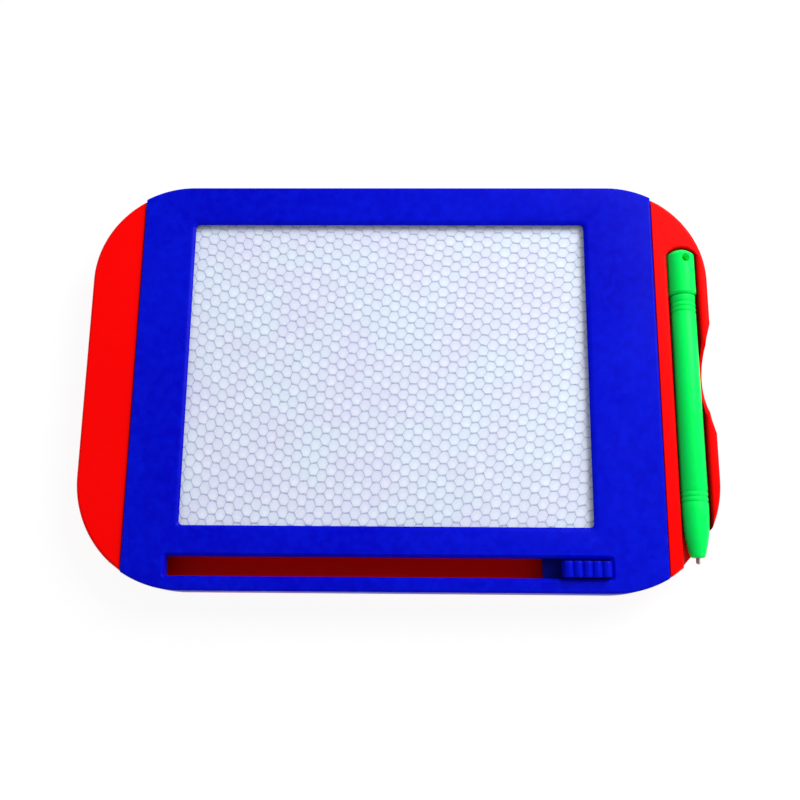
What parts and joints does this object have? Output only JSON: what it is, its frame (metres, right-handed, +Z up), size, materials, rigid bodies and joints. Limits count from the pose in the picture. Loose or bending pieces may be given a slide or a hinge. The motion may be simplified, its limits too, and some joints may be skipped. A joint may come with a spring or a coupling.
{
  "type": "magnetic drawing board",
  "caption": "Child's magnetic drawing board: honeycomb screen in a moulded case, sliding magnetic eraser below the window and a magnetic pen in a trough at the right end.",
  "frame": {"origin": "under the middle of the board, on the surface that it lies on", "axes": "+X towards the pen, +Y towards the board's top edge, +Z up out of the drawing screen"},
  "size_m": [0.2004, 0.1324, 0.017],
  "materials": {
    "red_plastic": "glossy injection-moulded styrene",
    "blue_plastic": "glossy injection-moulded styrene, faintly brushed on its face",
    "green_plastic": "glossy injection-moulded styrene, slightly translucent",
    "screen_white": "milky white film and cell walls",
    "clear_film": "clear film",
    "steel": "bright zinc-plated steel",
    "magnet_strip": "flexible ferrite magnet strip",
    "pen_magnet": "sintered ferrite",
    "tape": "double-sided foam tape",
    "seal": "sealing bead"
  },
  "bodies": {
    "board": {"back_shell": "red_plastic", "front_frame": "blue_plastic", "screw_1": "steel", "screw_2": "steel", "screw_3": "steel", "screw_4": "steel", "screw_5": "steel", "screw_6": "steel", "screw_7": "steel", "screw_8": "steel", "screen_tape": "tape", "screen_front_film": "clear_film", "honeycomb_core": "screen_white", "screen_edge_seal": "seal", "screen_back_sheet": "screen_white"},
    "eraser": {"slider_arm": "blue_plastic", "slider_knob": "blue_plastic", "eraser_magnet": "magnet_strip"},
    "pen": {"pen_barrel": "green_plastic", "pen_end_cap": "green_plastic", "pen_tip": "steel", "pen_magnet": "pen_magnet"}
  },
  "joints": [
    {"name": "eraser_slide", "type": "slide", "parent": "board", "child": "eraser", "axis": [1, 0, 0], "range_m": [-0.121, 0]},
    {"name": "pen_lift", "type": "slide", "parent": "board", "child": "pen", "axis": [0, 0, 1], "range_m": [0, 0.03]}
  ]
}
